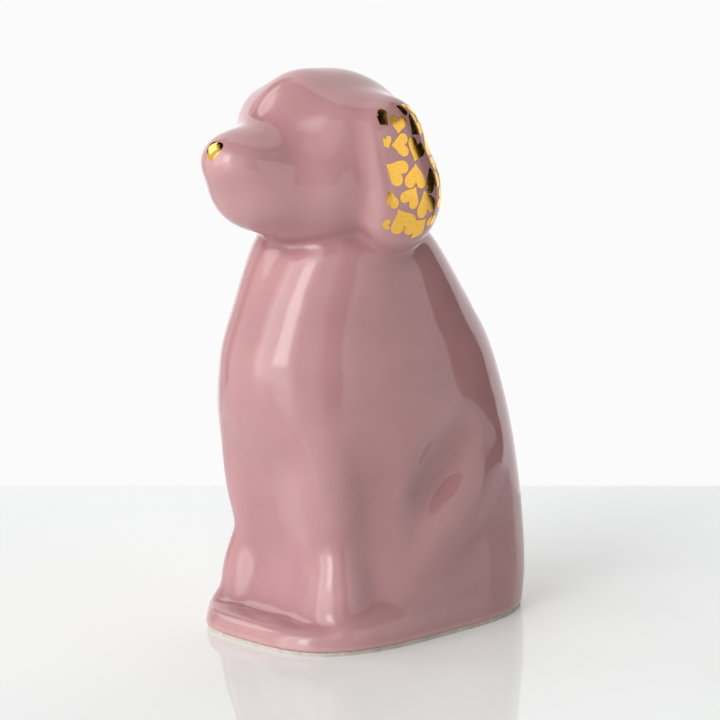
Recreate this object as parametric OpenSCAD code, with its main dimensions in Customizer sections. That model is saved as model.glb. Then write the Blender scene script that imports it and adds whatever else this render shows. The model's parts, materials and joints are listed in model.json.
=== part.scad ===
// Coin bank in the shape of a sitting dog: slip-cast glazed ceramic with gilded ears and nose.
// Millimetres, +Z up. The dog looks along -Y and its left side is +X.
// The origin is on the standing plane, below the middle of the overall box.
// The body is a smooth union of one lofted torso and a few ellipsoids. Its surface is found
// ring by ring, and the same field, moved inwards by the wall, gives the hollow.

/* [Body] */
// Width of the plinth
base_w = 67; // [64:0.5:69]
// Length of the plinth
base_len = 93.5; // [91:0.5:96]
// Height of the crease between torso and head
neck_z = 117.5; // [116:0.5:119]
// Thickness of the cast ceramic wall
wall = 4.5; // [3.5:0.25:5]

/* [Coin slot] */
// Length of the slot, across the back
slot_w = 36; // [30:1:40]
// Height of the slot
slot_h = 4.8; // [4.6:0.1:5.4]
// Height of the slot's middle above the table
slot_z = 94; // [88:1:98]

/* [Floor and stopper] */
// Height of the unglazed foot below the glaze line
foot_h = 1.2; // [0.8:0.1:1.6]
// Depth of the hollow under the floor
recess_h = 2.6; // [2.4:0.1:3]
// Thickness of the floor
floor_t = 4; // [3.5:0.25:5]
// Radius of the hole for the stopper
hole_r = 15; // [12:0.5:16]
// Radial gap between stopper and hole
fit_gap = 0.06; // [0.03:0.01:0.1]

/* [Ears and gilding] */
// Height of the ear's middle
ear_z = 141; // [139:0.5:143]
// Thickness of the gilding, with the glaze it stands on
film = 0.3; // [0.25:0.05:0.5]
// Height of the largest hearts
heart_size = 6; // [5:0.25:6.5]
// Distance between rows of hearts
heart_pitch = 5.6; // [5.25:0.05:7]

/* [Smoothness] */
// Points round each ring
around = 56; // [48:8:72]

/* [Hidden] */

// How far behind the middle of the overall box the body's own zero lies
body_y = 6.4;
head_top = 170.94;
plinth_y = -5;
plinth_h = 7.5;
tiny = 0.001;
floor_top = recess_h + floor_t;

glaze = [0.74, 0.55, 0.56];
clay = [0.9, 0.87, 0.82];
gold = [0.86, 0.64, 0.22];
vinyl = [0.93, 0.92, 0.9];

// Torso outline from the table up: height, chest, back, half width, squareness
torso_rows = [
    [0, -45, 49.8, 33.4, 2.8],
    [12, -41, 51.2, 33.8, 2.7],
    [30, -38, 52, 32.3, 2.5],
    [50, -42, 50, 32, 2.35],
    [68, -51, 45, 33, 2.3],
    [85, -52.5, 39.5, 31, 2.2],
    [100, -47.5, 30, 28, 2.2],
    [116, -40, 18, 25.5, 2.2],
    [124, -34, 10.5, 23, 2.2]
];

// Ellipsoids: centre, radii. The paired ones are mirrored to the other side. The valley in
// front of each thigh is carved out, the others are added.
foreleg = [[15.5, -33.5, 46], [9.5, 8.8, 26]];
forepaw = [[19, -32.3, 10.5], [9.5, 9.2, 20]];
haunch = [[21.3, 5.5, 33.5], [12.6, 14.5, 33]];
valley = [[52.4, -2.5, 49], [24, 21, 38]];
hind_foot = [[25, -20, 5], [8.5, 20, 8]];
skull = [[0, -19, 142.5], [26, 30, 28]];
muzzle = [[0, -48.3, 144.8], [13, 16.5, 10.5]];
jaw = [[0, -43.2, 138], [15.5, 17, 14]];
cheeks = [[0, -27, 138.5], [24.5, 21.5, 16.5]];
forehead = [[0, -28, 155], [13.6, 13, 15.2]];
temple = [[17, -19, 151.5], [9.5, 15, 12.5]];
brow = [[12.5, -28, 155.5], [8.5, 7.5, 7.5]];
ear_lower = [[26.2, -13, ear_z - 6.8], [8.5, 14.5, 15.6]];
ear_upper = [[24, -16.5, ear_z + 6], [7.8, 13, 16]];
ear_front_y = -27;
nose_top = [1.6, -60.8, 151.3];
nose_tip = [0, -63.3, 148.4];

// Smooth minimum and maximum: the two surfaces blend over a band of width k
function smin(a, b, k) = let (h = max(k - abs(a - b), 0) / k) min(a, b) - pow(h, 3) * k / 6;
function smax(a, b, k) = -smin(-a, -b, k);

// Distance from p to an ellipsoid whose long axis leans back by lean degrees
function egg(p, e, lean = 0) = let (
    d = p - e[0],
    q = [d.x, d.y * cos(lean) - d.z * sin(lean), d.z * cos(lean) + d.y * sin(lean)],
    a = [q.x / e[1].x, q.y / e[1].y, q.z / e[1].z],
    b = [a.x / e[1].x, a.y / e[1].y, a.z / e[1].z]
) norm(a) * (norm(a) - 1) / norm(b);

// Distance from p to an upright rounded rectangle
function slab(p, mid, half_x, half_y, square) = let (
    share = pow(pow(abs(p.x) / half_x, square) + pow(abs(p.y - mid) / half_y, square), 1 / square)
) max(norm([p.x, p.y - mid]), tiny * half_x) * (1 - 1 / max(share, tiny));

// One row of the torso at height z, on a smooth curve through torso_rows
function row_below(z, i = 0) =
    i < len(torso_rows) - 2 && z > torso_rows[i + 1][0] ? row_below(z, i + 1) : i;
function row_slope(i) = let (a = torso_rows[max(i - 1, 0)], b = torso_rows[min(i + 1, len(torso_rows) - 1)])
    (b - a) / (b[0] - a[0]);
function torso_row(z) = let (
    zc = min(z, 124),
    i = row_below(zc),
    a = torso_rows[i],
    b = torso_rows[i + 1],
    h = b[0] - a[0],
    t = (zc - a[0]) / h
) a * (2 * pow(t, 3) - 3 * pow(t, 2) + 1) + row_slope(i) * h * (pow(t, 3) - 2 * pow(t, 2) + t)
    + b * (3 * pow(t, 2) - 2 * pow(t, 3)) + row_slope(i + 1) * h * (pow(t, 3) - pow(t, 2));

function torso_field(p, row) = let (
    pair = [norm([p.x, 1.5]), p.y, p.z],
    loft = smax(slab(p, (row[1] + row[2]) / 2, row[3], (row[2] - row[1]) / 2, row[4]), p.z - 128, 6),
    carved = smax(loft, -egg(pair, valley, 43), 4),
    plinth = smax(slab(p, plinth_y, base_w / 2, base_len / 2, 3.4), p.z - plinth_h, 9),
    legs = smin(smin(carved, plinth, 7), egg(pair, foreleg, -11), 12),
    paws = smin(legs, egg(pair, forepaw), 8),
    rump = smin(paws, egg(pair, haunch, 46), 4)
) smin(rump, egg(pair, hind_foot), 6);

function head_field(p) = let (
    pair = [norm([p.x, 1.5]), p.y, p.z],
    face = smin(smin(egg(p, skull), egg(p, muzzle, 8), 10), egg(p, jaw), 8),
    wide = smin(face, egg(p, cheeks), 8),
    high = smin(smin(wide, egg(p, forehead), 6), egg(pair, temple), 8)
) smin(high, egg(pair, brow), 10);

function dog_field(p, row) =
    p.z < 95 ? torso_field(p, row) : smin(torso_field(p, row), head_field(p), 5);

function ear_field(p) = smax(smin(egg(p, ear_lower), egg(p, ear_upper), 8), ear_front_y - p.y, 3);

// Share of d at which field f passes zero on the way out from c
function reach(f, c, d, near = 0, far = 75, n = 13) = let (half_way = (near + far) / 2)
    n == 0 ? half_way :
    f(c + d * half_way) < 0 ? reach(f, c, d, half_way, far, n - 1) : reach(f, c, d, near, half_way, n - 1);

// Ring of the dog's surface at height z, moved outwards by out
function ring_middle(z) = [0, lookup(z, [[0, 0], [neck_z, -11], [head_top, -25.5]]), z];
function dog_ring(z, out = 0) = let (
    row = torso_row(z),
    c = ring_middle(z),
    f = function (p) dog_field(p, row) - out,
    side = [for (i = [0 : around / 2]) let (a = 360 * i / around, d = [0.75 * sin(a), -cos(a), 0])
        c + d * reach(f, c, d)],
    other = [for (i = [around / 2 - 1 : -1 : 1]) [-side[i].x, side[i].y, side[i].z]]
) concat(side, other);

// Heights from a to b, closer together near both ends
function eased(a, b, n) = [for (i = [0 : n]) a + (b - a) * (i / n - 0.08 * sin(360 * i / n))];
// Heights from a to b, closer together near b
function domed(a, b, n) = [for (i = [0 : n]) a + (b - a) * sin(87 * i / n)];

// Solid through rings of points, all with the same number. It joins the last ring to the first,
// or closes both ends where they are flat.
module skin(rings, joined = false) {
    n = len(rings[0]);
    last = len(rings) - 1;
    strips = [for (j = [0 : joined ? last : last - 1], i = [0 : n - 1]) let (
        k = (j + 1) % (last + 1),
        a = j * n + i,
        b = j * n + (i + 1) % n,
        c = k * n + (i + 1) % n,
        d = k * n + i
    ) each [[a, c, b], [a, d, c]]];
    ends = joined ? [] : [[for (i = [0 : n - 1]) i], [for (i = [n - 1 : -1 : 0]) last * n + i]];
    polyhedron(points = [for (r = rings) each r], faces = concat(strips, ends), convexity = 8);
}

// The solid head, with nothing inside
module head_solid() {
    skin([for (z = domed(neck_z, head_top, 30)) dog_ring(z)]);
}

function flat(ring) = [for (p = ring) [p.x, p.y]];
function raised(ring, z) = [for (p = ring) [p.x, p.y, z]];

module torso_shell() {
    seat = dog_ring(floor_top, -wall);
    outside = [for (z = eased(foot_h, neck_z, 38)) dog_ring(z)];
    inside = [for (z = eased(neck_z, floor_top + 4, 11)) dog_ring(z, -wall)];
    color(glaze) translate([0, body_y, 0])
    // Resizing to its own size makes the cut one mesh
    resize([0, 0, 0]) difference() {
        skin(concat(outside, inside, [raised(seat, floor_top), raised(seat, foot_h)]), joined = true);
        translate([0, 30, slot_z]) coin_slot_cutter();
    }
}

// Slot with round ends, cut through the upper back
module coin_slot_cutter() {
    rotate([90, 0, 0]) linear_extrude(40, center = true) hull() {
        for (side = [-1, 1]) {
            translate([side * (slot_w - slot_h) / 2, 0]) circle(d = slot_h, $fn = 24);
        }
    }
}

module head_shell() {
    inside = [for (z = domed(neck_z, head_top - 1.07 * wall, 12)) dog_ring(z, -wall)];
    outside = [for (z = domed(neck_z, head_top, 30)) dog_ring(z)];
    color(glaze) translate([0, body_y, 0])
    skin(concat([for (i = [len(inside) - 1 : -1 : 0]) inside[i]], outside));
}

// The whole of one ear, part of it inside the head
module ear_solid(out = 0) {
    f = function (p) ear_field(p) - out;
    middle = [25.5, -15, 0];
    top = ear_upper[0].z + ear_upper[1].z + out;
    bottom = ear_lower[0].z - ear_lower[1].z - out;
    skin([for (i = [0 : 20]) let (z = (top + bottom) / 2 - (top - bottom) / 2 * cos(5 + 170 * i / 20))
        [for (j = [0 : 27]) let (a = 360 * j / 28, c = middle + [0, 0, z], d = [0.6 * sin(a), -cos(a), 0])
            c + d * reach(f, c, d, far = 40)]]);
}

module ear() {
    color(glaze) translate([0, body_y, 0])
    resize([0, 0, 0]) difference() {
        ear_solid();
        head_solid();
    }
}

module ear_left() {
    ear();
}

module ear_right() {
    mirror([1, 0, 0]) ear();
}

// Heart outline of height 1, point downwards
function heart_points(n = 14) = [for (i = [0 : n - 1]) let (t = 360 * i / n)
    [16 * pow(sin(t), 3), 13 * cos(t) - 5 * cos(2 * t) - 2 * cos(3 * t) - cos(4 * t) + 2] / 29];

// Hearts in staggered rows, each on a prism that points out of the ear
module heart_prisms() {
    spins = rands(-170, 170, 80, 11);
    sizes = rands(0.62, 1, 80, 5);
    for (row = [0 : 6], place = [0 : 4]) {
        k = row * 5 + place;
        z = ear_z - 15.5 + row * heart_pitch;
        turn = -34 + (place + (row % 2) / 2) * 27;
        translate([19, -15, z]) rotate([90, 0, 90 + turn]) linear_extrude(30)
        rotate(spins[k]) scale(heart_size * sizes[k]) polygon(heart_points());
    }
}

module ear_gilding() {
    color(gold) translate([0, body_y, 0])
    resize([0, 0, 0]) difference() {
        intersection() {
            ear_solid(film);
            heart_prisms();
            translate([27.5, ear_front_y + 1.5, 0]) cube([20, 40, 200]);
        }
        ear_solid();
    }
}

module ear_gilding_left() {
    ear_gilding();
}

module ear_gilding_right() {
    mirror([1, 0, 0]) ear_gilding();
}

// Rounded wedge, widest at the top, that stands proud of the muzzle's tip
module nose_gilding() {
    color(gold) translate([0, body_y, 0])
    resize([0, 0, 0]) difference() {
        hull() {
            for (side = [-1, 1]) {
                translate([side * nose_top.x, nose_top.y, nose_top.z]) sphere(1.8, $fn = 20);
            }
            translate(nose_tip) sphere(1.5, $fn = 20);
        }
        head_solid();
    }
}

// Unglazed foot rim and the floor inside the torso, with the stopper's hole
module base_floor() {
    line = dog_ring(foot_h);
    seat = dog_ring(floor_top, -wall);
    color(clay) translate([0, body_y, 0]) difference() {
        union() {
            linear_extrude(foot_h) offset(delta = -0.4) polygon(flat(line));
            translate([0, 0, foot_h]) linear_extrude(floor_top - foot_h) polygon(flat(seat));
        }
        translate([0, 0, -1]) linear_extrude(recess_h + 1) offset(r = -3, $fn = 32) polygon(flat(seat));
        translate([0, 0, -1]) cylinder(h = floor_top + 2, r = hole_r, $fn = 96);
    }
}

// Soft plug: a flange under the floor, a neck in the hole and a lip above it
module stopper() {
    flange_h = 1.6;
    neck_r = hole_r - fit_gap;
    lip_h = 2.4;
    grip = 5;
    color(vinyl) translate([0, body_y, recess_h - flange_h]) difference() {
        union() {
            cylinder(h = flange_h, r = hole_r + 2.5, $fn = 96);
            cylinder(h = flange_h + floor_t + lip_h - 1, r = neck_r, $fn = 96);
            translate([0, 0, flange_h + floor_t + lip_h - 1])
            cylinder(h = 1, r1 = neck_r, r2 = neck_r - 1, $fn = 96);
        }
        // Two finger hollows leave a bar to pull
        for (side = [-1, 1]) {
            translate([0, 0, -1]) linear_extrude(grip + 1) intersection() {
                circle(hole_r - 4, $fn = 64);
                translate([-20, side > 0 ? 2 : -22]) square([40, 20]);
            }
        }
    }
}

torso_shell();
head_shell();
ear_left();
ear_right();
base_floor();
nose_gilding();
ear_gilding_left();
ear_gilding_right();
stopper();
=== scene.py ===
"""Sitting dog coin bank: the glazed skin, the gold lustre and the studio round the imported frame.

The glazed body is one smooth field in millimetres, in the dog's own frame: on the table, round the
stopper's axis. It is meshed as a hollow shell with its coin slot, and cut into torso, head and ears along
the creases.
"""
import json
import math

import bpy
import numpy as np
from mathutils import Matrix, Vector
from mathutils.kdtree import KDTree


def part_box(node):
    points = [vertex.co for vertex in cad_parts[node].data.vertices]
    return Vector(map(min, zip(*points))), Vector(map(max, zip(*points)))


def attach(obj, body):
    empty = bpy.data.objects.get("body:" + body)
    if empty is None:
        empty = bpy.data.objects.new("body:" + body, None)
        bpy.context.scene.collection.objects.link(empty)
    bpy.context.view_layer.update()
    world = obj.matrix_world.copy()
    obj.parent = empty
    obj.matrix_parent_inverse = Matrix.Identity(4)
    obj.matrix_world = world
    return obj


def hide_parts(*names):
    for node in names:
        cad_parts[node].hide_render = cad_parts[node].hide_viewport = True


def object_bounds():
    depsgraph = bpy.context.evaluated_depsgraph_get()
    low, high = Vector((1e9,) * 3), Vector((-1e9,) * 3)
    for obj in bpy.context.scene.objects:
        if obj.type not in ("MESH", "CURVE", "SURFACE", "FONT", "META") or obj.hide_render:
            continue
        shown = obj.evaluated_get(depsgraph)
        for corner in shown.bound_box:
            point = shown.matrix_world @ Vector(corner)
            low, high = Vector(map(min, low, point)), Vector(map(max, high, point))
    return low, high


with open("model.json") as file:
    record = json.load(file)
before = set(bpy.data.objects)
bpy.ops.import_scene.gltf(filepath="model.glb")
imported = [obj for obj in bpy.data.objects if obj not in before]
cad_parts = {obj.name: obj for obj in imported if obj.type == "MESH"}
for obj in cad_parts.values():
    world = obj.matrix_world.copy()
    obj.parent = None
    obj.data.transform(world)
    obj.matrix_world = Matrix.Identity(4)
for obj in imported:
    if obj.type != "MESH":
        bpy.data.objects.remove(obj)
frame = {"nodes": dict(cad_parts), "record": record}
cad_low, cad_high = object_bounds()

MM = 0.001

# ---------------------------------------------------------------- places taken from the frame
stopper_low, stopper_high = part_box("stopper")
ear_low, ear_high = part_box("ear_left")
openings = {o["name"]: o["box_m"] for o in frame["record"]["physics"]["openings"]}

BODY_Y = (stopper_low.y + stopper_high.y) / 2 / MM
NECK_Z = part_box("head_shell")[0].z / MM
FOOT_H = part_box("torso_shell")[0].z / MM
FLOOR_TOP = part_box("base_floor")[1].z / MM
SLOT_Z = (openings["coin_slot"][0][2] + openings["coin_slot"][1][2]) / 2 / MM
SLOT_W, SLOT_H = 36, 4.8
WALL = 4.5
# The ears are drawn from a height a little above the middle of their box
EAR_RISE = 0.2
EAR_Z = (ear_low.z + ear_high.z) / 2 / MM + EAR_RISE

# ---------------------------------------------------------------- the dog's shape, in millimetres
# Torso outline from the table up: height, chest, back, half width, squareness
TORSO_ROWS = np.array([
    [0, -45, 49.8, 33.4, 2.8],
    [12, -41, 51.2, 33.8, 2.7],
    [30, -38, 52, 32.3, 2.5],
    [50, -42, 50, 32, 2.35],
    [68, -51, 45, 33, 2.3],
    [85, -52.5, 39.5, 31, 2.2],
    [100, -47.5, 30, 28, 2.2],
    [116, -40, 18, 25.5, 2.2],
    [124, -34, 10.5, 23, 2.2],
])
TORSO_TOP = 128
PLINTH = dict(middle=-5, half_x=33.5, half_y=46.75, square=3.4)
PLINTH_H = 7.5

# Ellipsoids: centre, radii, lean of the long axis in degrees. The paired ones are mirrored.
# The valley in front of each thigh is carved out, the others are added.
FORELEG = ((15.5, -33.5, 46), (9.5, 8.8, 26), -11)
FOREPAW = ((19, -32.3, 10.5), (9.5, 9.2, 20), 0)
HAUNCH = ((21.3, 5.5, 33.5), (12.6, 14.5, 33), 46)
VALLEY = ((52.4, -2.5, 49), (24, 21, 38), 43)
HIND_FOOT = ((25, -20, 5), (8.5, 20, 8), 0)
SKULL = ((0, -19, 142.5), (26, 30, 28), 0)
MUZZLE = ((0, -48.3, 144.8), (13, 16.5, 10.5), 8)
JAW = ((0, -43.2, 138), (15.5, 17, 14), 0)
CHEEKS = ((0, -27, 138.5), (24.5, 21.5, 16.5), 0)
FOREHEAD = ((0, -28, 155), (13.6, 13, 15.2), 0)
TEMPLE = ((17, -19, 151.5), (9.5, 15, 12.5), 0)
BROW = ((12.5, -28, 155.5), (8.5, 7.5, 7.5), 0)
EAR_LOWER = ((26.2, -13, EAR_Z - 6.8), (8.5, 14.5, 15.6), 0)
EAR_UPPER = ((24, -16.5, EAR_Z + 6), (7.8, 13, 16), 0)
EAR_FRONT_Y = -27
EAR_FILLET = 9
# Where the hidden faces between ear and head lie, outwards from the body's surface
EAR_SEAT = EAR_FILLET / 6
# The visible skin lies this far inside the CAD's faceted one
SKIN_INSET = 0.05


def smin(a, b, k):
    """Smooth minimum: the two surfaces blend over a band of width k."""
    h = np.maximum(k - np.abs(a - b), 0) / k
    return np.minimum(a, b) - h ** 3 * k / 6


def smax(a, b, k):
    return -smin(-a, -b, k)


def egg(p, centre, radii, lean):
    """Distance to an ellipsoid whose long axis leans back by lean degrees."""
    x, y, z = (p[i] - centre[i] for i in range(3))
    c, s = math.cos(math.radians(lean)), math.sin(math.radians(lean))
    q = (x, y * c - z * s, z * c + y * s)
    k0 = np.sqrt(sum((v / r) ** 2 for v, r in zip(q, radii)))
    k1 = np.sqrt(sum((v / r ** 2) ** 2 for v, r in zip(q, radii)))
    return k0 * (k0 - 1) / np.maximum(k1, 1e-9)


def slab(x, y, middle, half_x, half_y, square):
    """Distance to an upright rounded rectangle."""
    share = (np.abs(x / half_x) ** square + np.abs((y - middle) / half_y) ** square) ** (1 / square)
    tiny = 1e-3
    return np.maximum(np.hypot(x, y - middle), tiny * half_x) * (1 - 1 / np.maximum(share, tiny))


def torso_row(z):
    """Chest, back, half width and squareness at each height, on a smooth curve through TORSO_ROWS."""
    rows = TORSO_ROWS
    heights = rows[:, 0]
    z = np.clip(z, heights[0], heights[-1])
    last = len(rows) - 1
    above = np.minimum(np.arange(len(rows)) + 1, last)
    below = np.maximum(np.arange(len(rows)) - 1, 0)
    slopes = (rows[above] - rows[below]) / (heights[above] - heights[below])[:, None]
    i = np.clip(np.searchsorted(heights, z, side="right") - 1, 0, last - 1)
    span = heights[i + 1] - heights[i]
    t = (z - heights[i]) / span
    out = []
    for column in range(1, 5):
        a, b = rows[i, column], rows[i + 1, column]
        sa, sb = slopes[i, column], slopes[i + 1, column]
        out.append(a * (2 * t ** 3 - 3 * t ** 2 + 1) + sa * span * (t ** 3 - 2 * t ** 2 + t)
                   + b * (3 * t ** 2 - 2 * t ** 3) + sb * span * (t ** 3 - t ** 2))
    return out


def pair_of(p):
    """The same points folded onto the dog's left side, softly at the middle plane."""
    return (np.hypot(p[0], 1.5), p[1], p[2])


def torso_field(p):
    chest, back, half_x, square = torso_row(p[2])
    pair = pair_of(p)
    loft = slab(p[0], p[1], (chest + back) / 2, half_x, (back - chest) / 2, square)
    d = smax(smax(loft, p[2] - TORSO_TOP, 6), -egg(pair, *VALLEY), 4)
    d = smin(d, smax(slab(p[0], p[1], **PLINTH), p[2] - PLINTH_H, 9), 7)
    d = smin(d, egg(pair, *FORELEG), 12)
    d = smin(d, egg(pair, *FOREPAW), 8)
    d = smin(d, egg(pair, *HAUNCH), 4)
    return smin(d, egg(pair, *HIND_FOOT), 6)


def head_field(p):
    d = smin(egg(p, *SKULL), egg(p, *MUZZLE), 10)
    d = smin(d, egg(p, *JAW), 8)
    d = smin(d, egg(p, *CHEEKS), 8)
    d = smin(d, egg(p, *FOREHEAD), 6)
    d = smin(d, egg(pair_of(p), *TEMPLE), 8)
    return smin(d, egg(pair_of(p), *BROW), 10)


def ear_field(p):
    pair = pair_of(p)
    return smax(smin(egg(pair, *EAR_LOWER), egg(pair, *EAR_UPPER), 8), EAR_FRONT_Y - p[1], 3)


def body_field(p):
    """Torso and head, without ears."""
    return smin(torso_field(p), head_field(p), 5)


def slot_field(p):
    """The coin slot: a bar with round ends through the upper back."""
    bar = np.hypot(np.maximum(np.abs(p[0]) - (SLOT_W - SLOT_H) / 2, 0), p[2] - SLOT_Z) - SLOT_H / 2
    return np.maximum(bar, -p[1])


def skin_field(p):
    """The outer skin, ears included."""
    return smin(body_field(p), ear_field(p), EAR_FILLET) + SKIN_INSET


def shell_field(p):
    """The glazed shell: the outer skin, less the hollow, less the slot, cut off at the foot line.

    Below the floor the hollow goes straight down, where the clay floor sits in it.
    """
    hollow = body_field((p[0], p[1], np.maximum(p[2], FLOOR_TOP))) + WALL
    solid = smax(skin_field(p), -hollow, 0.8)
    solid = smax(solid, -slot_field(p), 1.6)
    return smax(solid, FOOT_H - p[2], 0.9)


def neck_side(p):
    """Below zero in the torso, above it in the head."""
    return p[2] - NECK_Z


def ear_side(p):
    """Below zero on the ears' skin, above it on the head's. It follows the crease round each ear."""
    body = body_field(p)
    return np.maximum(ear_field(p) - body, -0.3 - body)


def gradient(field, p, e=0.05):
    p = np.asarray(p, float)
    out = np.empty_like(p)
    for axis in range(3):
        step = np.zeros((3, 1))
        step[axis] = e
        out[axis] = (field(p + step) - field(p - step)) / (2 * e)
    return out


def settle(field, p, level=0.0, rounds=4):
    """Moves points onto the surface where field is level."""
    p = np.array(p, float)
    for _ in range(rounds):
        g = gradient(field, p)
        step = (field(p) - level) / np.maximum((g ** 2).sum(0), 1e-6)
        p -= np.clip(step, -0.8, 0.8) * g
    return p


def unit(v):
    return v / np.maximum(np.linalg.norm(v, axis=0), 1e-12)


# ---------------------------------------------------------------- meshing
def untangle(values):
    """Flips the weakest corner of every grid face whose corners alternate, so that no two sheets touch."""
    for _ in range(8):
        mixed = []
        for axis in range(3):
            u, v = [n for n in range(3) if n != axis]
            square = []
            for du, dv in ((0, 0), (1, 0), (1, 1), (0, 1)):
                part = [slice(None)] * 3
                part[u] = slice(du, values.shape[u] - 1 + du)
                part[v] = slice(dv, values.shape[v] - 1 + dv)
                square.append(values[tuple(part)] < 0)
            alternate = (square[0] == square[2]) & (square[1] == square[3]) & (square[0] != square[1])
            for first in np.argwhere(alternate):
                corners = np.repeat(first[None], 4, 0)
                corners[1:3, u] += 1
                corners[2:, v] += 1
                mixed.append(corners)
        for corners in mixed:
            spot = min(map(tuple, corners), key=lambda corner: abs(values[corner]))
            values[spot] = -0.01 * np.sign(values[spot])
        if not mixed:
            return


def surface_net(field, low, high, step):
    """Points (3, n) and triangles (m, 3) of the surface where field is zero, on a grid."""
    axes = [np.arange(a - 2 * step, b + 2 * step, step) for a, b in zip(low, high)]
    shape = tuple(len(a) for a in axes)
    values = np.empty(shape)
    for k, z in enumerate(axes[2]):
        x, y = np.meshgrid(axes[0], axes[1], indexing="ij")
        values[:, :, k] = field((x, y, np.full_like(x, z)))
    untangle(values)
    cells = tuple(n - 1 for n in shape)
    total, count = np.zeros(cells + (3,)), np.zeros(cells)
    corner = [(i, j, k) for i in (0, 1) for j in (0, 1) for k in (0, 1)]

    def at(offset):
        return values[tuple(slice(o, o + n) for o, n in zip(offset, cells))]

    for a in corner:
        for axis in range(3):
            if a[axis]:
                continue
            b = tuple(1 if n == axis else v for n, v in enumerate(a))
            fa, fb = at(a), at(b)
            cross = (fa < 0) != (fb < 0)
            t = np.where(cross, fa / np.where(cross, fa - fb, 1), 0)
            for n in range(3):
                total[..., n] += np.where(cross, a[n] + (t if n == axis else 0), 0)
            count += cross
    used = count > 0
    index = np.full(cells, -1)
    index[used] = np.arange(used.sum())
    where = np.argwhere(used)
    points = (where + total[used] / count[used][:, None]) * step + [a[0] for a in axes]
    quads = []
    for axis in range(3):
        u, v = [n for n in range(3) if n != axis]
        inner = [slice(1, n - 1) for n in shape]
        inner[axis] = slice(0, shape[axis] - 1)
        ahead = list(inner)
        ahead[axis] = slice(1, shape[axis])
        fa, fb = values[tuple(inner)], values[tuple(ahead)]
        for rising in (True, False):
            hit = (fa < 0) & (fb >= 0) if rising else (fa >= 0) & (fb < 0)
            at_cell = np.argwhere(hit)
            at_cell[:, u] += 1
            at_cell[:, v] += 1
            ring = []
            for du, dv in ((0, 0), (-1, 0), (-1, -1), (0, -1)):
                c = at_cell.copy()
                c[:, u] += du
                c[:, v] += dv
                ring.append(index[c[:, 0], c[:, 1], c[:, 2]])
            turn = rising == (axis != 1)
            quads.append(np.stack(ring if turn else ring[::-1], 1))
    quads = np.concatenate(quads)
    return points.T, np.concatenate([quads[:, [0, 1, 2]], quads[:, [0, 2, 3]]])


def cut(points, triangles, side):
    """Splits a mesh of the shell along side = 0. Returns its points and the triangles below and above.

    Points close to the cut move onto it first, so that no sliver is left beside it.
    """
    def onto(p):
        for _ in range(4):
            p = settle(side, settle(shell_field, p, rounds=1), rounds=1)
        return p

    points = points.copy()
    g = side(points)
    edges = np.concatenate([triangles[:, [0, 1]], triangles[:, [1, 2]], triangles[:, [2, 0]]])
    edges = np.unique(np.sort(edges, axis=1), axis=0)
    a, b = edges[g[edges[:, 0]] * g[edges[:, 1]] < 0].T
    t = g[a] / (g[a] - g[b])
    close = np.unique(np.where(t < 0.5, a, b)[np.minimum(t, 1 - t) < 0.25])
    points[:, close] = onto(points[:, close])
    g[close] = 0
    a, b = edges[g[edges[:, 0]] * g[edges[:, 1]] < 0].T
    t = g[a] / (g[a] - g[b])
    fresh = onto(points[:, a] * (1 - t) + points[:, b] * t)
    middle = {pair: points.shape[1] + n for n, pair in enumerate(zip(a.tolist(), b.tolist()))}
    points = np.concatenate([points, fresh], axis=1)
    g = np.concatenate([g, np.zeros(len(a))])
    lowest, highest = g[triangles].min(1), g[triangles].max(1)
    below = [triangles[highest <= 0]]
    above = [triangles[(lowest >= 0) & (highest > 0)]]
    for triangle in triangles[(lowest < 0) & (highest > 0)].tolist():
        ring = []
        for start, end in zip(triangle, triangle[1:] + triangle[:1]):
            ring.append(start)
            if (min(start, end), max(start, end)) in middle:
                ring.append(middle[min(start, end), max(start, end)])
        for kept, sign in ((below, -1), (above, 1)):
            part = [v for v in ring if g[v] * sign >= 0]
            kept.append(np.array([(part[0], part[n], part[n + 1]) for n in range(1, len(part) - 1)]))
    return points, np.concatenate(below), np.concatenate(above)


def open_rings(triangles):
    """The open edges of a mesh, as rings of point numbers in the order its triangles have them."""
    sides = np.concatenate([triangles[:, [0, 1]], triangles[:, [1, 2]], triangles[:, [2, 0]]])
    known = set(map(tuple, sides.tolist()))
    ahead = {a: b for a, b in sorted(known) if (b, a) not in known}
    rings = []
    while ahead:
        ring = [min(ahead)]
        while ring[-1] in ahead:
            ring.append(ahead.pop(ring[-1]))
        rings.append(ring[:-1])
    return rings


def lid(points, rings, upwards):
    """Flat triangles between an outer and an inner ring round the same middle."""
    rings = sorted(rings, key=lambda ring: -np.ptp(points[0, ring]))
    middle = points[:2, rings[1]].mean(1)
    turned = []
    for ring in rings:
        angle = np.arctan2(points[1, ring] - middle[1], points[0, ring] - middle[0])
        order = np.argsort(angle)
        turned.append((np.array(ring)[order], np.append(angle[order], angle[order][0] + 2 * math.pi)))
    (outer, outer_angle), (inner, inner_angle) = turned
    i = j = 0
    faces = []
    while i < len(outer) or j < len(inner):
        at = (outer[i % len(outer)], inner[j % len(inner)])
        if j == len(inner) or (i < len(outer) and outer_angle[i + 1] < inner_angle[j + 1]):
            i += 1
            faces.append((at[0], outer[i % len(outer)], at[1]))
        else:
            j += 1
            faces.append((at[0], inner[j % len(inner)], at[1]))
    faces = np.array(faces)
    return faces if upwards else faces[:, ::-1]


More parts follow.
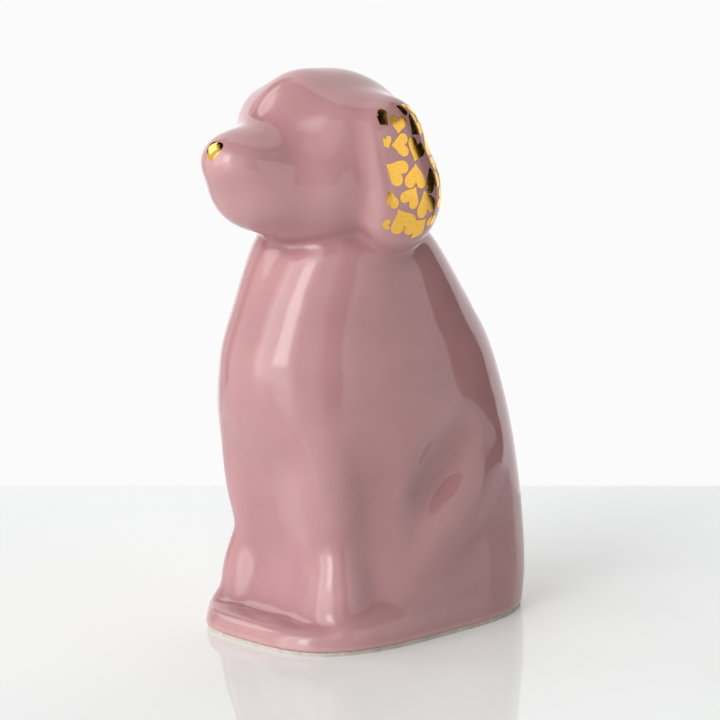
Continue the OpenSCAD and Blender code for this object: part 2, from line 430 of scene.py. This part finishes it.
def dish(points, ring, field, level, rows=12):
    """Closes a ring with rows of points that shrink towards its middle on the surface field = level."""
    edge = points[:, ring]
    middle = edge.mean(1, keepdims=True)
    count = len(ring)
    rows_of_points = [middle + (edge - middle) * (1 - row / rows) for row in range(1, rows)]
    fresh = settle(field, np.concatenate(rows_of_points + [middle], axis=1), level, 8)
    first = points.shape[1]
    numbers = [np.array(ring)] + [first + row * count + np.arange(count) for row in range(rows - 1)]
    faces = []
    for outer, inner in zip(numbers, numbers[1:]):
        a, b, c, d = outer, np.roll(outer, -1), np.roll(inner, -1), inner
        faces += [np.stack([b, a, d], 1), np.stack([b, d, c], 1)]
    last = numbers[-1]
    faces.append(np.stack([np.roll(last, -1), last, np.full(count, first + fresh.shape[1] - 1)], 1))
    return np.concatenate([points, fresh], axis=1), np.concatenate(faces)


# ---------------------------------------------------------------- films of gold lustre
LUSTRE = 0.12
HEART_SIZES = 8.2 * 0.975 ** np.arange(46)
HEART_GAP = 0.45
HEART_PLACES = 360
HEART_SPINS = 4
# The gilt part of an ear: its reach below and above the ear's middle, how its lower edge curves up away
# from GILT_MIDDLE_Y, its distance behind the ear's front, and its distance off the head
GILT_DOWN, GILT_UP = 18.5, 20.5
GILT_CURVE, GILT_MIDDLE_Y = 0.045, -15
GILT_FROM_FRONT, GILT_OFF_HEAD = 2.7, 1.7
# Hearts start at points on an upright drum inside the ear
DRUM_X, DRUM_R, DRUM_ANGLE = 18, 12, 65
# The least share of a heart's outline that lies on the gilt part before it is trimmed
HEART_INSIDE = 0.7


def film(outline, middle, lift, crown=0.0):
    """A closed film over an outline on the skin. It stands proud by lift, and crown more at its middle."""
    count = outline.shape[1]
    shares = (1.0, 0.97, 0.8, 0.55, 0.28)
    sink = 0.05

    def row(share, height):
        at = settle(skin_field, middle + (outline - middle) * share, 0, 5)
        return at + unit(gradient(skin_field, at)) * height

    heights = [lift * 0.6] + [lift + crown * (1 - share ** 2) for share in shares[1:]]
    top = [row(share, height) for share, height in zip(shares, heights)]
    bottom = [row(share, -sink) for share in shares]
    centre = settle(skin_field, middle, 0, 5)
    out = unit(gradient(skin_field, centre))
    peak, foot = centre + out * (lift + crown), centre - out * sink
    points = np.concatenate(top + [peak] + bottom + [foot], axis=1)
    upper = [np.arange(count) + n * count for n in range(len(shares))]
    under = [ring + len(shares) * count + 1 for ring in upper]
    faces = []
    strips = list(zip(upper, upper[1:])) + [(under[0], upper[0])] + list(zip(under[1:], under))
    for outer, inner in strips:
        a, b, c, d = outer, np.roll(outer, -1), np.roll(inner, -1), inner
        faces += [np.stack([a, b, c], 1), np.stack([a, c, d], 1)]
    upper_tip, under_tip = np.full(count, len(shares) * count), np.full(count, points.shape[1] - 1)
    faces.append(np.stack([upper[-1], np.roll(upper[-1], -1), upper_tip], 1))
    faces.append(np.stack([np.roll(under[-1], -1), under[-1], under_tip], 1))
    return points, np.concatenate(faces)


def heart(count):
    """Heart outline of height 1 round its middle, point downwards, anticlockwise."""
    t = -np.arange(count) * 2 * math.pi / count
    x = 14 * np.sin(t) ** 3 + 2 * np.sin(t)
    y = 13 * np.cos(t) - 5 * np.cos(2 * t) - 2 * np.cos(3 * t) - np.cos(4 * t) + 2.5
    return np.stack([x, y]) / 29


def gilt(p):
    """True on the part of the left ear's skin that carries hearts."""
    lowest = EAR_Z - GILT_DOWN + GILT_CURVE * (p[1] - GILT_MIDDLE_Y) ** 2
    tall = (p[2] > lowest) & (p[2] < EAR_Z + GILT_UP)
    return tall & (p[1] > EAR_FRONT_Y + GILT_FROM_FRONT) & (body_field(p) > GILT_OFF_HEAD)


def pack_hearts(seed):
    """Outlines and middles of hearts packed on the left ear, the largest first."""
    rng = np.random.default_rng(seed)
    turn = np.radians(rng.uniform(-DRUM_ANGLE, DRUM_ANGLE, HEART_PLACES))
    height = EAR_Z + rng.uniform(-19, 21, HEART_PLACES)
    start = np.array([DRUM_X + DRUM_R * np.cos(turn), DRUM_R * np.sin(turn) + GILT_MIDDLE_Y, height])
    places = settle(skin_field, start, 0, 8)
    places = places[:, gilt(places)]
    out = unit(gradient(skin_field, places))
    across = unit(np.stack([-out[1], out[0], np.zeros(out.shape[1])]))
    up = np.cross(out, across, axis=0)
    shape = heart(48)
    placed = []
    for size in HEART_SIZES:
        tree = KDTree(sum(h[0].shape[1] for h in placed) + 1)
        for n, point in enumerate(np.concatenate([h[0] for h in placed], axis=1).T if placed else []):
            tree.insert(point, n)
        tree.insert((0, 0, 0), 0)
        tree.balance()
        best, best_score = None, 1e9
        for k in range(places.shape[1]):
            middle = places[:, [k]]
            # Middles this close can't both fit
            if any(np.linalg.norm(middle - h[1]) < 0.4 * (size + h[2]) + HEART_GAP for h in placed):
                continue
            for spin in rng.uniform(0, 2 * math.pi, HEART_SPINS):
                x = size * (shape[0] * math.cos(spin) - shape[1] * math.sin(spin))
                y = size * (shape[0] * math.sin(spin) + shape[1] * math.cos(spin))
                outline = middle + across[:, [k]] * x + up[:, [k]] * y
                if min(tree.find(point)[2] for point in outline[:, ::8].T) < HEART_GAP:
                    continue
                gaps = sorted(tree.find(point)[2] for point in outline.T)
                if gaps[0] < HEART_GAP:
                    continue
                inside = gilt(outline).mean()
                score = sum(gaps[:6]) / 6 + 5 * (1 - inside)
                if inside > HEART_INSIDE and score < best_score:
                    best, best_score = (outline, middle, size), score
        if best is not None:
            placed.append(best)
    return [(trim(outline, middle), middle) for outline, middle, _ in placed]


def trim(outline, middle):
    """Draws the points of an outline that lie beyond the gilt part of the ear back to its edge."""
    inner, outer = np.zeros(outline.shape[1]), np.ones(outline.shape[1])
    for share_tried in range(9):
        share = outer if share_tried == 0 else (inner + outer) / 2
        fits = gilt(settle(skin_field, middle + (outline - middle) * share, 0, 3))
        inner = np.where(fits, share, inner)
        outer = np.where(fits, outer, share)
    return settle(skin_field, middle + (outline - middle) * inner, 0, 5)


# ---------------------------------------------------------------- the shell, cut into its castings
# Step of the meshing grid, at which no edge is shared by more than two faces
GRID = 0.84
low, high = np.array(cad_low) / MM - [0, BODY_Y, 0], np.array(cad_high) / MM - [0, BODY_Y, 0]
points, triangles = surface_net(shell_field, low, high, GRID)
points = settle(shell_field, points)
points, torso_faces, head_faces = cut(points, triangles, neck_side)
torso_lid = lid(points, open_rings(torso_faces), upwards=True)
head_lid = lid(points, open_rings(head_faces), upwards=False)
points, ear_faces, head_faces = cut(points, head_faces, ear_side)


def place(p):
    """Points (3, n) in the dog's frame, in millimetres, as rows in metres in the frame."""
    return (p + np.array([[0], [BODY_Y], [0]])).T * MM


def piece(name, points, faces, flat_faces, material, field):
    """A mesh piece of the bank. Its shading follows the field, except on its flat or hidden faces."""
    every = np.concatenate([faces, flat_faces]) if len(flat_faces) else faces
    used, index = np.unique(every, return_inverse=True)
    corners = index.reshape(every.shape)
    spots = points[:, used]
    mesh = bpy.data.meshes.new(name)
    mesh.from_pydata(place(spots), [], corners)
    mesh.polygons.foreach_set("use_smooth", np.ones(len(every), bool))
    bend = mesh.attributes.new("bend", "FLOAT", "POINT")
    bend.data.foreach_set("value", bending(field, spots).astype(np.float32))
    smooth = unit(gradient(field, spots)).T
    normals = smooth[corners]
    rows = place(spots)
    flat = corners[len(faces):]
    across = np.cross(rows[flat[:, 1]] - rows[flat[:, 0]], rows[flat[:, 2]] - rows[flat[:, 0]])
    normals[len(faces):] = unit(across.T).T[:, None, :]
    mesh.normals_split_custom_set(normals.reshape(-1, 3))
    mesh.materials.append(material)
    made = bpy.data.objects.new(name, mesh)
    bpy.context.collection.objects.link(made)
    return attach(made, "bank")


def bending(field, p, reach=1.6):
    """How sharply the surface bends at each point: above zero on ridges, below in creases."""
    total = -6 * field(p)
    for axis in range(3):
        step = np.zeros((3, 1))
        step[axis] = reach
        total = total + field(p + step) + field(p - step)
    return np.clip(total / reach ** 2, -1, 1)


# ---------------------------------------------------------------- materials
class Nodes:
    """A procedural material, built node by node."""

    def __init__(self, name):
        self.material = bpy.data.materials.new(name)
        self.material.use_nodes = True
        self.tree = self.material.node_tree
        self.shader = self.tree.nodes["Principled BSDF"]
        self.place = self.add("ShaderNodeTexCoord").outputs["Object"]

    def add(self, kind, properties=None, **inputs):
        made = self.tree.nodes.new(kind)
        for key, value in (properties or {}).items():
            setattr(made, key, value)
        for key, value in inputs.items():
            self.put(made.inputs[key.replace("_", " ")], value)
        return made

    def put(self, socket, value):
        if isinstance(value, bpy.types.NodeSocket):
            self.tree.links.new(value, socket)
        else:
            socket.default_value = value

    def set(self, **inputs):
        for key, value in inputs.items():
            self.put(self.shader.inputs[key.replace("_", " ")], value)

    def noise(self, scale, detail=3.0, roughness=0.5):
        made = self.add("ShaderNodeTexNoise", Vector=self.place, Scale=scale, Detail=detail)
        made.inputs["Roughness"].default_value = roughness
        return made.outputs["Fac"]

    def ranged(self, value, low, high, to_low, to_high):
        made = self.add("ShaderNodeMapRange", Value=value)
        for socket, number in zip(made.inputs[1:5], (low, high, to_low, to_high)):
            socket.default_value = number
        return made.outputs["Result"]

    def ramp(self, value, *stops):
        made = self.add("ShaderNodeValToRGB", Fac=value)
        stones = made.color_ramp.elements
        while len(stones) < len(stops):
            stones.new(0.5)
        for stone, (position, colour) in zip(stones, stops):
            stone.position = position
            stone.color = (*colour, 1)
        return made.outputs["Color"]

    def blend(self, share, a, b, how="MIX"):
        made = self.add("ShaderNodeMix", dict(data_type="RGBA", blend_type=how))
        self.put(made.inputs["Factor"], share)
        self.put(made.inputs[6], a)
        self.put(made.inputs[7], b)
        return made.outputs[2]

    def bump(self, height, distance, normal=None):
        made = self.add("ShaderNodeBump", Height=height, Distance=distance, Strength=1.0)
        if normal is not None:
            self.put(made.inputs["Normal"], normal)
        return made.outputs["Normal"]


def glaze():
    """Dusty pink glaze: glossy, gently uneven, thinner on ridges and pooled in creases."""
    n = Nodes("pink_glaze")
    bend = n.add("ShaderNodeAttribute", dict(attribute_name="bend")).outputs["Fac"]
    thin = n.ranged(bend, -0.25, 0.3, 0, 1)
    pooled, even, worn = (0.375, 0.175, 0.185), (0.46, 0.232, 0.24), (0.54, 0.30, 0.30)
    colour = n.ramp(thin, (0.0, pooled), (0.5, even), (1.0, worn))
    cloud = n.ranged(n.noise(38, 4, 0.6), 0.3, 0.7, 0.93, 1.06)
    tint = n.add("ShaderNodeCombineColor", Red=cloud, Green=cloud, Blue=cloud).outputs["Color"]
    colour = n.blend(1.0, colour, tint, "MULTIPLY")
    speck = n.ranged(n.noise(2300, 1, 0.4), 0.74, 0.8, 0, 0.35)
    colour = n.blend(speck, colour, (0.30, 0.13, 0.14, 1))
    swell = n.bump(n.noise(55, 2, 0.4), 0.0004)
    peel = n.bump(n.noise(900, 2, 0.5), 0.000002, swell)
    n.set(Base_Color=colour, Normal=peel, IOR=1.52)
    n.set(Roughness=n.ranged(n.noise(170, 3), 0.3, 0.7, 0.02, 0.05))
    return n.material


def lustre():
    """Fired gold: a bright mirror film with a fine grain."""
    n = Nodes("gold_lustre")
    grain = n.noise(2600, 3, 0.7)
    colour = n.ramp(grain, (0.3, (0.86, 0.42, 0.05)), (0.55, (1.0, 0.58, 0.11)), (0.8, (1.0, 0.70, 0.22)))
    fine = n.bump(grain, 0.000012)
    wave = n.bump(n.noise(420, 2), 0.00003, fine)
    n.set(Base_Color=colour, Metallic=1.0, Roughness=n.ranged(grain, 0.3, 0.7, 0.10, 0.22), Normal=wave)
    return n.material


def polished_gold():
    """The nose's thicker gold, smooth enough to mirror the studio."""
    n = Nodes("gold_nose")
    grain = n.noise(1500, 2, 0.5)
    colour = n.ramp(grain, (0.3, (0.93, 0.50, 0.08)), (0.7, (1.0, 0.64, 0.17)))
    n.set(Base_Color=colour, Metallic=1.0, Roughness=n.ranged(grain, 0.3, 0.7, 0.03, 0.07))
    n.set(Normal=n.bump(n.noise(500, 2), 0.00002))
    return n.material


def bare_clay():
    """Fired clay without glaze: chalky, pored and a little speckled."""
    n = Nodes("bare_clay")
    colour = n.ramp(n.noise(420, 5, 0.65), (0.3, (0.46, 0.40, 0.34)), (0.7, (0.64, 0.59, 0.52)))
    speck = n.ranged(n.noise(1500, 2, 0.5), 0.66, 0.74, 0, 0.5)
    colour = n.blend(speck, colour, (0.42, 0.33, 0.27, 1))
    pores = n.bump(n.noise(1900, 4, 0.7), 0.00009)
    n.set(Base_Color=colour, Roughness=n.ranged(n.noise(600), 0.3, 0.7, 0.75, 0.95), Normal=pores, IOR=1.45)
    return n.material


def soft_vinyl():
    """Milky moulded vinyl with a fine satin texture."""
    n = Nodes("soft_vinyl")
    colour = n.ramp(n.noise(90, 3), (0.3, (0.74, 0.73, 0.69)), (0.7, (0.82, 0.81, 0.78)))
    satin = n.bump(n.noise(2800, 2, 0.6), 0.00001)
    n.set(Base_Color=colour, Roughness=n.ranged(n.noise(350), 0.3, 0.7, 0.34, 0.5), Normal=satin, IOR=1.5)
    n.set(Subsurface_Weight=0.25, Subsurface_Radius=(0.004, 0.004, 0.0035), Subsurface_Scale=1.0)
    return n.material


PINK, GOLD, NOSE_GOLD, CLAY, VINYL = glaze(), lustre(), polished_gold(), bare_clay(), soft_vinyl()


# ---------------------------------------------------------------- the pieces
torso = piece("torso", points, torso_faces, torso_lid, PINK, shell_field)
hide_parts("torso_shell")

head_points, head_caps = points, [head_lid]
# A ring wholly above the neck is closed with a dish. The ears' rings run down to the neck's plane and join
# its ring, so at this shape none is closed, and the head's mesh stays open behind the ears.
for ring in open_rings(head_faces):
    if points[2, ring].min() > NECK_Z + 0.2:
        head_points, cap = dish(head_points, ring, body_field, EAR_SEAT)
        head_caps.append(cap)
head = piece("head", head_points, head_faces, np.concatenate(head_caps), PINK, shell_field)
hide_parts("head_shell")

hearts = [film(outline, middle, LUSTRE) for outline, middle in pack_hearts(seed=7)]
for name, side in (("left", 1), ("right", -1)):
    faces = ear_faces[points[0, ear_faces[:, 0]] * side > 0]
    ear_points, cap = dish(points, open_rings(faces)[0], body_field, EAR_SEAT)
    ear = piece("ear_" + name + "_casting", ear_points, faces, cap, PINK, shell_field)
    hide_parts("ear_" + name)

    flip = np.array([[side], [1], [1]])
    starts = np.cumsum([0] + [p.shape[1] for p, _ in hearts])
    film_points = np.concatenate([p * flip for p, _ in hearts], axis=1)
    film_faces = np.concatenate([(f + start)[:, ::side] for (_, f), start in zip(hearts, starts)])
    gilding = piece("gold_hearts_" + name, film_points, film_faces, [], GOLD, skin_field)
    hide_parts("ear_gilding_" + name)

# Nose: a rounded triangle, point downwards, on the muzzle's tip
NOSE_HALF, NOSE_TALL, NOSE_Z = 2.8, 6.4, 150.8
NOSE_LIFT, NOSE_CROWN, NOSE_CORNERS = 0.2, 0.24, 0.14
turn = np.arange(40) * 2 * math.pi / 40
nose_middle = settle(skin_field, np.array([[0.0], [-64], [NOSE_Z]]), 0, 8)
out = unit(gradient(skin_field, nose_middle))[:, 0]
upwards = np.cross(out, [1, 0, 0])
corner = 1 + NOSE_CORNERS * np.cos(3 * (turn - math.pi / 6))
x = NOSE_HALF * np.cos(turn) * corner
y = NOSE_TALL / 2 * np.sin(turn) * corner
nose_outline = nose_middle + np.array([[1.0], [0], [0]]) * x + upwards[:, None] * y
nose_points, nose_faces = film(nose_outline, nose_middle, NOSE_LIFT, NOSE_CROWN)
nose = piece("gold_nose", nose_points, nose_faces, [], NOSE_GOLD, skin_field)
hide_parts("nose_gilding")

# The clay floor and the vinyl stopper keep the CAD's shape, with their edges eased
for name, material, width in (("base_floor", CLAY, 0.35), ("stopper", VINYL, 0.45)):
    made = frame["nodes"][name]
    made.data.materials.clear()
    made.data.materials.append(material)
    ease = made.modifiers.new("ease", "BEVEL")
    ease.width = width * MM
    ease.segments = 3
    ease.limit_method = "ANGLE"
    ease.angle_limit = math.radians(40)
    ease.harden_normals = True
    for polygon in made.data.polygons:
        polygon.use_smooth = True

# ---------------------------------------------------------------- the studio
CAMERA_AZ, CAMERA_EL, CAMERA_FAR = 46, 10.8, 1.1
CAMERA_LENS, CAMERA_SENSOR = 180.95, 36
CAMERA_SHIFT_X, CAMERA_SHIFT_Y = -0.0153, -0.0354
TABLE_HALF, TABLE_NEAR, TABLE_FAR = 1.2, -1.0, 0.172
MIDDLE = Vector((0, BODY_Y * MM, 0.0875))


def towards(azimuth, elevation):
    """Unit vector from the object: azimuth 0 is in front of the dog, 90 on its left."""
    a, e = math.radians(azimuth), math.radians(elevation)
    return Vector((math.sin(a) * math.cos(e), -math.cos(a) * math.cos(e), math.sin(e)))


def flat_stage(name, half_x, near, far, height, material):
    """A level rectangle turned to face the camera, from near to far behind the object's middle."""
    back, side = -towards(CAMERA_AZ, 0), towards(CAMERA_AZ + 90, 0)
    middle = Vector((0, BODY_Y * MM, height))
    corners = [middle + side * x + back * y for x, y in
               ((-half_x, near), (half_x, near), (half_x, far), (-half_x, far))]
    mesh = bpy.data.meshes.new(name)
    mesh.from_pydata(corners, [], [(0, 1, 2, 3)])
    mesh.materials.append(material)
    made = bpy.data.objects.new(name, mesh)
    bpy.context.collection.objects.link(made)


table_look = Nodes("pale_table")
table_look.set(Base_Color=(0.84, 0.86, 0.85, 1), Roughness=0.03, IOR=1.25)
table_look.set(Emission_Color=(0.97, 1, 0.98, 1), Emission_Strength=0.08)
flat_stage("table", TABLE_HALF, TABLE_NEAR, TABLE_FAR, 0, table_look.material)

# Panels of light round the dog: azimuths and heights in degrees, softness of the edges, brightness
PANELS = (
    ((-28, 24), (-12, 50), 18, 3.1),
    ((0, 20), (8, 38), 8, 3.8),
    ((24, 58), (-12, 42), 10, 0.85),
    ((80, 145), (-120, 24), 3, 1.0),
    ((178, 255), (-120, 56), 4, 1.15),
    ((255, 275), (-120, 22), 8, 0.6),
    ((270, 308), (24, 44), 6, 2.0),
    ((288, 325), (-20, 50), 10, 0.8),
    ((325, 340), (-20, 40), 8, 1.0),
    ((120, 270), (56, 120), 12, 1.2),
    ((108, 144), (24, 48), 8, 0.35),
)
BACKDROP = (0.973, 0.965, 0.968)


class Studio:
    """The world: a white backdrop for the camera and the light panels for everything else."""

    def __init__(self, name):
        self.world = bpy.data.worlds.new(name)
        self.world.use_nodes = True
        self.tree = self.world.node_tree
        self.tree.nodes.clear()
        way = self.add("ShaderNodeSeparateXYZ")
        self.tree.links.new(self.add("ShaderNodeTexCoord").outputs["Generated"], way.inputs[0])
        front = self.math("MULTIPLY", way.outputs["Y"], -1.0)
        turn = self.math("ARCTAN2", way.outputs["X"], front)
        self.azimuth = self.math("DEGREES", turn)
        self.height = self.math("DEGREES", self.math("ARCSINE", way.outputs["Z"]))

    def add(self, kind):
        return self.tree.nodes.new(kind)

    def math(self, operation, *values):
        made = self.add("ShaderNodeMath")
        made.operation = operation
        for socket, value in zip(made.inputs, values):
            if isinstance(value, bpy.types.NodeSocket):
                self.tree.links.new(value, socket)
            else:
                socket.default_value = value
        return made.outputs[0]

    def window(self, value, span, soft):
        """One inside span, zero outside, with soft edges that are half in and half out."""
        from_middle = self.math("SUBTRACT", value, sum(span) / 2)
        turned = self.math("WRAP", from_middle, 180.0, -180.0)
        fade = self.add("ShaderNodeMapRange")
        fade.interpolation_type = "SMOOTHSTEP"
        self.tree.links.new(self.math("ABSOLUTE", turned), fade.inputs["Value"])
        half = (span[1] - span[0]) / 2
        for socket, number in zip(fade.inputs[1:5], (half - soft / 2, half + soft / 2, 1, 0)):
            socket.default_value = number
        return fade.outputs["Result"]

    def light(self, panels):
        total = 0.0
        for azimuths, heights, soft, bright in panels:
            across = self.window(self.azimuth, azimuths, soft)
            shape = self.math("MULTIPLY", across, self.window(self.height, heights, soft))
            total = self.math("MULTIPLY_ADD", shape, bright, total)
        return total

    def finish(self, light, backdrop):
        lit, seen = self.add("ShaderNodeBackground"), self.add("ShaderNodeBackground")
        self.tree.links.new(light, lit.inputs["Strength"])
        lit.inputs["Color"].default_value = (1, 1, 1, 1)
        seen.inputs["Color"].default_value = (*backdrop, 1)
        choose = self.add("ShaderNodeMixShader")
        self.tree.links.new(self.add("ShaderNodeLightPath").outputs["Is Camera Ray"], choose.inputs["Fac"])
        self.tree.links.new(lit.outputs[0], choose.inputs[1])
        self.tree.links.new(seen.outputs[0], choose.inputs[2])
        self.tree.links.new(choose.outputs[0], self.add("ShaderNodeOutputWorld").inputs["Surface"])
        return self.world


studio = Studio("studio")
bpy.context.scene.world = studio.finish(studio.light(PANELS), BACKDROP)

camera_data = bpy.data.cameras.new("camera")
camera_data.lens = CAMERA_LENS
camera_data.sensor_width = CAMERA_SENSOR
camera_data.shift_x = CAMERA_SHIFT_X
camera_data.shift_y = CAMERA_SHIFT_Y
camera = bpy.data.objects.new("camera", camera_data)
bpy.context.collection.objects.link(camera)
camera.location = MIDDLE + towards(CAMERA_AZ, CAMERA_EL) * CAMERA_FAR
camera.rotation_euler = (-towards(CAMERA_AZ, CAMERA_EL)).to_track_quat("-Z", "Y").to_euler()
bpy.context.scene.camera = camera
bpy.context.scene.view_settings.view_transform = "Standard"
